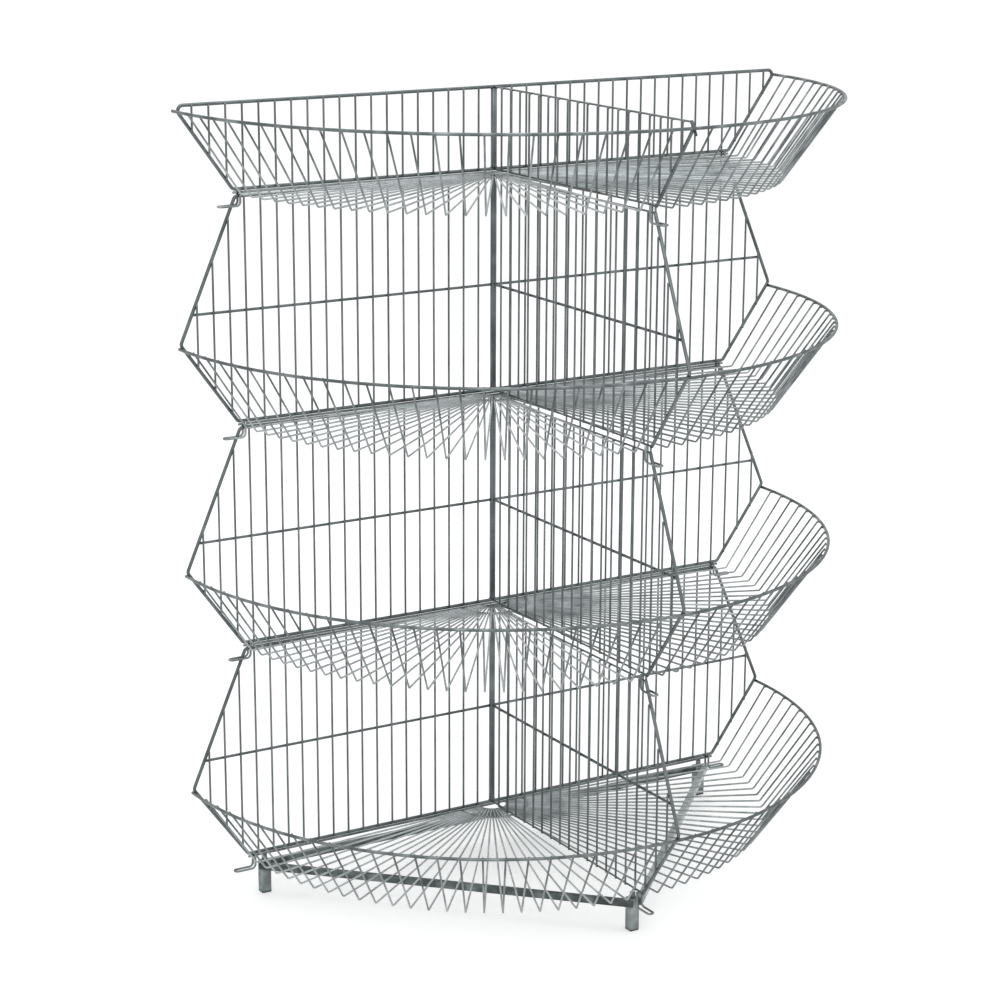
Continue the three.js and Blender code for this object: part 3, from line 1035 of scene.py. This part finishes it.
    def rim(self, start: Corner) -> Shell:
        """Quarter of the rim, which passes the back panel's corner on the outside.

        Args:
            start: Corner at which the quarter begins.

        Returns:
            The rod's surface.
        """
        overrun = self.rim_overrun / self.rim_radius
        first = start.value - (overrun if start is Corner.LEFT else 0.0)
        last = start.value + math.pi / 2.0 + (overrun if start is Corner.FRONT else 0.0)
        angles = np.linspace(first, last, RIM_STATIONS)
        return self.arc(self.rim_radius, self.rim_height, angles, STOCK.rim, FRAME_SIDES, self.rim_tone)

    def floor(self) -> None:
        """Rod under the back panel, and the half ring that the floor wires start from."""
        inset = self.wire_step() / 2.0
        angles = np.linspace(Corner.LEFT.value + inset, Corner.RIGHT.value - inset, HUB_STATIONS)
        ring = self.arc(self.hub_radius, -self.floor_drop, angles, STOCK.floor, FILL_SIDES)
        line = np.array([[-self.floor_radius, -self.floor_drop], [self.floor_radius, -self.floor_drop]])
        rod = self.rod(end_stations(line, WELD_STATIONS), Corner.RIGHT, STOCK.floor)
        self.piece("floor_rods", [ring, rod], Slot.FILL_WIRE, "floor")

    def loop(self, corner: Corner) -> None:
        """Retaining loop: down one side of the floor rail, out, round and up the other side.

        Args:
            corner: Corner that the loop hangs under.
        """
        spread = STOCK.frame / 2.0 + self.clearance + STOCK.loop / 2.0
        tip = self.loop_radius + self.loop_reach - STOCK.loop / 2.0
        turns = np.linspace(-np.pi / 2.0, np.pi / 2.0, TIP_STATIONS + 2)[1:-1]
        round_tip = np.stack([tip - spread + spread * np.cos(turns), spread * np.sin(turns),
                              np.full_like(turns, -self.loop_drop)], axis=1)
        near = np.array([[self.loop_radius, -spread, -self.clearance],
                         [self.loop_radius, -spread, -self.loop_drop],
                         [tip - spread, -spread, -self.loop_drop]])
        near = rounded_line(near, self.loop_bend, ROD_BEND_STEPS, False)
        far = (near * [1.0, -1.0, 1.0])[::-1]
        stations = np.vstack([near, round_tip, far])
        path = self.place(stations[:, 0], stations[:, 1], stations[:, 2], corner)[None]
        normals = carried_normals(path, corner.outward[None])
        rod = sweep(path, normals, circle(STOCK.loop / 2.0, FRAME_SIDES), self.tone(1),
                    heat_reach=self.loop_heat_reach)
        contact = (STOCK.frame + self.clearance) / 2.0 * np.array([-1.0, 1.0])
        beads = nuggets(self.place(self.loop_radius, contact, -self.loop_weld_drop, corner), LAP_WELD)
        self.piece(f"loop_{corner.word}_rod", [rod, beads], Slot.FILL_WIRE, f"loop_{corner.word}")

    def build(self) -> None:
        """Builds and dresses all pieces of the tier."""
        self.back_panel()
        self.divider_panel()
        self.post()
        if self.tall:
            self.mid_rails()
        self.floor()
        self.basket(Corner.LEFT, "left")
        self.basket(Corner.FRONT, "right")
        for corner in Corner:
            self.loop(corner)


@dataclass
class Base:
    """Three square legs joined by three bars, with foot plugs and the studs that carry the bottom tier.

    Attributes:
        finisher: Maker of the finished pieces.
        leg_side: Side of the leg tube.
        bar_side: Side of the bar tube.
        bar_outset: How far the two front bars lie outside the line through the legs' middles.
        tube_radius: Outer corner radius of the leg tube.
        bar_radius: Outer corner radius of the bar tube.
        leg_chamfer: Size of the softened edge at a leg's ends.
        plug_chamfer: Size of the softened edge of a foot plug and of a stud.
        bead: Radius of a weld bead.
        bead_swell: Share by which the bead's radius swells and shrinks.
        bead_heat: How far a bead shows the colour of a weld.
        leg_tone: Plating tone of the legs and the studs.
        bar_tone: Plating tone of the back bar and the left bar.
        right_painted_light_tone: Plating tone of the right bar, made the brightest of the three as painted
            light for the light on its top.
    """

    finisher: Finisher
    leg_side: float = 15.0 * MM
    bar_side: float = 10.0 * MM
    bar_outset: float = 10.0 * MM
    tube_radius: float = 1.6 * MM
    bar_radius: float = 1.2 * MM
    leg_chamfer: float = 0.4 * MM
    plug_chamfer: float = 0.6 * MM
    bead: float = 0.9 * MM
    bead_swell: float = 0.12
    bead_heat: float = 0.9
    leg_tone: float = 0.3
    bar_tone: float = -0.75
    right_painted_light_tone: float = 2.0

    def pillar(self, node: str, chamfer: float, corner_radius: float | None = None) -> Shell:
        """Upright tube, plug or stud that fills the box of a CAD node, with softened end edges.

        Surface in words: its outline in plan, carried up the middle of the box and drawn in by the chamfer
        at both ends.

        Args:
            node: The CAD node.
            chamfer: Size of the softened edge at both ends.
            corner_radius: Corner radius of a square one in plan, or None for a round one.

        Returns:
            The surface.
        """
        low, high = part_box(node)
        side = high.x - low.x
        heights = np.array([low.z, low.z + chamfer, high.z - chamfer, high.z])
        middle = [(low.x + high.x) / 2.0, (low.y + high.y) / 2.0]
        path = np.column_stack([np.tile(middle, (len(heights), 1)), heights])[None]
        normals = np.broadcast_to(RIGHTWARD, path.shape)
        end = 1.0 - 2.0 * chamfer / side
        profile = circle(side / 2.0, POST_SIDES)
        if corner_radius is not None:
            profile = rounded_square(side, corner_radius, TUBE_CORNER_STEPS)
        return sweep(path, normals, profile, np.array([self.leg_tone]), scale=np.array([end, 1.0, 1.0, end]))

    def bead_ring(self, centre: Array, first: Array, second: Array) -> Shell:
        """Weld bead round the end of a bar, as a rippled ring on the leg's face.

        Surface in words: a small circle carried round a rectangle in equal steps, its radius swelling and
        shrinking with the sine of the step number, once in three steps, as the drops of a hand weld do.

        Args:
            centre: Middle of the bar's end.
            first: Half size of the ring along one side, as a vector.
            second: Half size along the other side.

        Returns:
            The bead.
        """
        corners = np.array([first + second, second - first, -first - second, first - second]) + centre
        runs = np.linspace(0.0, 1.0, BEAD_STEPS, endpoint=False)[:, None]
        edges = corners[:, None] + runs * (np.roll(corners, -1, axis=0) - corners)[:, None]
        path = edges.reshape(1, -1, 3)
        across = unit(np.cross(first, second))
        normals = np.broadcast_to(across, path.shape)
        ripple = 1.0 + self.bead_swell * np.sin(np.arange(path.shape[1]) * 2.0 * np.pi / 3.0)
        shell = sweep(path, normals, circle(self.bead, BEAD_SIDES), np.zeros(1), closed=True, scale=ripple)
        shell.heat[:] = self.bead_heat
        return shell

    def bar(self, node: str, start: Array, end: Array, faces: tuple[Array, Array], legs: tuple[Array, Array],
            tone: float) -> None:
        """Square bar between two leg faces, its ends cut to lie flat on them, with a bead round each.

        Each end ring is slid along the bar until it lies in the plane of its leg face. A bead goes no
        further than the leg's face does.

        Args:
            node: CAD node of the bar.
            start: Middle of the bar at the first leg's face.
            end: Middle of the bar at the second leg's face.
            faces: Unit normals of the two leg faces.
            legs: Middles of the two legs at the bar's height.
            tone: Plating tone of the bar.
        """
        along = unit(end - start)
        path = np.linspace(start, end, BAR_STATIONS)[None]
        normals = np.broadcast_to(unit(np.cross(UPWARD, along)), path.shape)
        profile = rounded_square(self.bar_side, self.bar_radius, TUBE_CORNER_STEPS)
        shell = sweep(path, normals, profile, np.array([tone]))
        around = len(profile)
        half, reach = self.bar_side / 2.0, self.leg_side / 2.0
        beads = []
        rings = (slice(0, around), slice(-around, None))
        for ring, middle, face, leg in zip(rings, (start, end), faces, legs):
            points = shell.points[ring]
            shell.points[ring] = points + along * (((middle - points) @ face) / (along @ face))[:, None]
            level = unit(np.cross(UPWARD, face))
            wide = half / abs(float(along @ face))
            offset = float((middle - leg) @ level)
            low, high = max(offset - wide, -reach), min(offset + wide, reach)
            centre = middle + level * ((low + high) / 2.0 - offset)
            beads.append(self.bead_ring(centre, level * (high - low) / 2.0, UPWARD * half))
        self.finisher.piece(f"{node}_tube", [shell, *beads], Slot.BASE_TUBE, "base", node)

    def bars(self) -> None:
        """Back bar between the side legs, and the two bars that run to the front leg."""
        low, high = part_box("base_back_bar")
        height = (low.z + high.z) / 2.0
        legs = {corner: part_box(f"leg_{corner.word}") for corner in Corner}
        middles = {c: np.array([(a.x + b.x) / 2.0, (a.y + b.y) / 2.0, height]) for c, (a, b) in legs.items()}
        half = self.leg_side / 2.0
        outset = self.bar_outset * math.sqrt(2.0) - half
        left_leg, front_leg, right_leg = (middles[c] for c in (Corner.LEFT, Corner.FRONT, Corner.RIGHT))
        self.bar("base_back_bar", left_leg + RIGHTWARD * half, right_leg - RIGHTWARD * half,
                 (RIGHTWARD, RIGHTWARD), (left_leg, right_leg), self.bar_tone)
        # The right bar's far brighter tone is painted light, not a different plating
        for word, leg, way, tone in (("left", left_leg, -RIGHTWARD, self.bar_tone),
                                     ("right", right_leg, RIGHTWARD, self.right_painted_light_tone)):
            start = leg - BACKWARD * half + way * outset
            end = front_leg + way * half - BACKWARD * outset
            self.bar(f"base_{word}_bar", start, end, (BACKWARD, RIGHTWARD), (leg, front_leg), tone)

    def build(self) -> None:
        """Builds and dresses all pieces of the base."""
        for corner in Corner:
            word = corner.word
            leg = self.pillar(f"leg_{word}", self.leg_chamfer, self.tube_radius)
            self.finisher.piece(f"leg_{word}_tube", [leg], Slot.BASE_TUBE, "base", f"leg_{word}")
            plug = self.pillar(f"foot_plug_{word}", self.plug_chamfer, self.tube_radius)
            self.finisher.piece(f"foot_{word}_plug", [plug], Slot.FOOT_PLASTIC, "base", f"foot_plug_{word}")
            stud = self.pillar(f"support_stud_{word}", self.plug_chamfer)
            self.finisher.piece(f"stud_{word}_pin", [stud], Slot.BASE_TUBE, "base", f"support_stud_{word}")
        self.bars()


@dataclass(frozen=True)
class Lamp:
    """A soft square lamp that faces the stand.

    Attributes:
        name: Name of the lamp.
        place: Where it hangs.
        side: Side of its square face.
        power: Watts.
    """

    name: str
    place: tuple[float, float, float]
    side: float
    power: float


@dataclass(frozen=True)
class Studio:
    """Pale floor, white surround, soft lamps and the camera at the photograph's angle.

    Attributes:
        floor_colour: Colour of the floor.
        floor_reach: From the stand's middle to the floor's edges.
        near_glow: White that the floor shows where it is seen, besides its lit colour, near the stand.
        far_glow: The same far from the stand, where the lamps don't reach.
        glow_span: Distances from the stand's middle over which the glow rises.
        fill_light: Strength of the surround's light on the stand.
        aim: Point on the post that the camera's axis passes through.
        azimuth: Camera's angle round the stand, in degrees.
        elevation: Camera's angle above the horizon, in degrees.
        distance: From the aim point to the camera.
        roll: Camera's turn about its axis, in radians.
        lens: Focal length in millimetres.
        shift: Shift of the frame, as shares of its width.
        sensor: Width of the camera's sensor in millimetres.
        far_limit: Distance past which the camera sees nothing.
        lamp_target: Point that the lamps face.
        lamps: The lamps.
    """

    floor_colour: str = "#f4f5f5"
    floor_reach: float = 30.0
    near_glow: float = 0.38
    far_glow: float = 0.55
    glow_span: tuple[float, float] = (0.7, 2.4)
    fill_light: float = 0.55
    aim: tuple[float, float, float] = (0.0, 0.2475, 0.4747)
    azimuth: float = -31.04
    elevation: float = 15.80
    distance: float = 3.966
    roll: float = 0.0032
    lens: float = 95.06
    shift: tuple[float, float] = (0.0076, 0.0453)
    sensor: float = 36.0
    far_limit: float = 100.0
    lamp_target: tuple[float, float, float] = (0.0, 0.0, 0.55)
    lamps: tuple[Lamp, ...] = (
        Lamp("key", (-2.4, -2.6, 3.2), 1.8, 26.0),
        Lamp("fill", (2.8, -1.6, 2.2), 2.2, 12.0),
        Lamp("back", (0.6, 2.8, 2.8), 2.0, 8.0),
        Lamp("overhead", (0.0, -0.3, 3.4), 2.6, 32.0),
    )

    def floor(self) -> None:
        """Wide floor that keeps the shadow, with a little glow where it is seen."""
        corners = np.array([[-1.0, -1.0, 0.0], [1.0, -1.0, 0.0], [1.0, 1.0, 0.0], [-1.0, 1.0, 0.0]])
        mesh = bpy.data.meshes.new("floor")
        mesh.from_pydata((corners * self.floor_reach).tolist(), [], [(0, 1, 2, 3)])
        made, tree = blank_tree("matt_white_floor")
        seen = self.seen_rays(tree)
        lit = add_node(tree, "ShaderNodeBsdfDiffuse", {"Color": linear(self.floor_colour)})
        place = add_node(tree, "ShaderNodeTexCoord")
        reach = add_node(tree, "ShaderNodeVectorMath", {0: place.outputs["Object"]}, operation="LENGTH")
        rise = add_node(tree, "ShaderNodeMapRange", {
            "Value": reach.outputs["Value"], "From Min": self.glow_span[0], "From Max": self.glow_span[1],
            "To Min": self.near_glow, "To Max": self.far_glow}, interpolation_type="SMOOTHSTEP")
        strength = add_node(tree, "ShaderNodeMath", {0: seen, 1: rise.outputs[0]}, operation="MULTIPLY")
        glow = add_node(tree, "ShaderNodeEmission", {"Strength": strength.outputs[0]})
        both = add_node(tree, "ShaderNodeAddShader", {0: lit.outputs[0], 1: glow.outputs[0]})
        add_node(tree, "ShaderNodeOutputMaterial", {"Surface": both.outputs[0]})
        mesh.materials.append(made)
        floor = bpy.data.objects.new("floor", mesh)
        bpy.context.scene.collection.objects.link(floor)

    def seen_rays(self, tree: bpy.types.NodeTree) -> bpy.types.NodeSocket:
        """One for camera, glossy and transmission rays, nought for others.

        Args:
            tree: Node tree that takes the nodes.

        Returns:
            The output that carries the number.
        """
        path = add_node(tree, "ShaderNodeLightPath")
        sharp = add_node(tree, "ShaderNodeMath", {
            0: path.outputs["Is Camera Ray"], 1: path.outputs["Is Glossy Ray"]}, operation="MAXIMUM")
        both = add_node(tree, "ShaderNodeMath", {
            0: sharp.outputs[0], 1: path.outputs["Is Transmission Ray"]}, operation="MAXIMUM")
        return both.outputs[0]

    def surround(self) -> None:
        """White surround: strength 1 where it is seen, and the fill light elsewhere."""
        world = bpy.data.worlds.new("white_surround")
        world.use_nodes = True
        tree = world.node_tree
        tree.nodes.clear()
        strength = add_node(tree, "ShaderNodeMapRange", {
            "Value": self.seen_rays(tree), "To Min": self.fill_light, "To Max": 1.0})
        light = add_node(tree, "ShaderNodeBackground", {
            "Strength": strength.outputs[0], "Color": linear("#ffffff")})
        add_node(tree, "ShaderNodeOutputWorld", {"Surface": light.outputs[0]})
        bpy.context.scene.world = world

    def light(self) -> None:
        """Hangs the lamps, each turned to the middle of the stand."""
        target = Vector(self.lamp_target)
        for lamp in self.lamps:
            data = bpy.data.lights.new(lamp.name, "AREA")
            data.size = lamp.side
            data.energy = lamp.power
            hung = bpy.data.objects.new(lamp.name, data)
            place = Vector(lamp.place)
            facing = (target - place).to_track_quat("-Z", "Y").to_matrix().to_4x4()
            hung.matrix_world = Matrix.Translation(place) @ facing
            bpy.context.scene.collection.objects.link(hung)

    def camera(self) -> None:
        """Sets the camera where the photograph was taken from."""
        turn, rise = math.radians(self.azimuth), math.radians(self.elevation)
        back = Vector((math.sin(turn) * math.cos(rise), -math.cos(turn) * math.cos(rise), math.sin(rise)))
        data = bpy.data.cameras.new("photo_view")
        data.lens = self.lens
        data.sensor_width = self.sensor
        data.shift_x, data.shift_y = self.shift
        data.clip_end = self.far_limit
        made = bpy.data.objects.new("photo_view", data)
        facing = (-back).to_track_quat("-Z", "Y").to_matrix().to_4x4()
        made.matrix_world = (Matrix.Translation(Vector(self.aim) + back * self.distance) @ facing
                             @ Matrix.Rotation(self.roll, 4, "Z"))
        bpy.context.scene.collection.objects.link(made)
        bpy.context.scene.camera = made

    def build(self) -> None:
        """Sets up the whole studio."""
        self.floor()
        self.surround()
        self.light()
        self.camera()
        bpy.context.scene.view_settings.view_transform = "Standard"


def main() -> None:
    """Builds the base, the tiers and the studio in order."""
    logging.basicConfig(level=logging.INFO, format="%(name)s: %(message)s")
    finisher = Finisher()
    Base(finisher).build()
    for number in range(1, TIER_COUNT + 1):
        Tier(number, finisher).build()
    Studio().build()


if __name__ == "__main__":
    main()
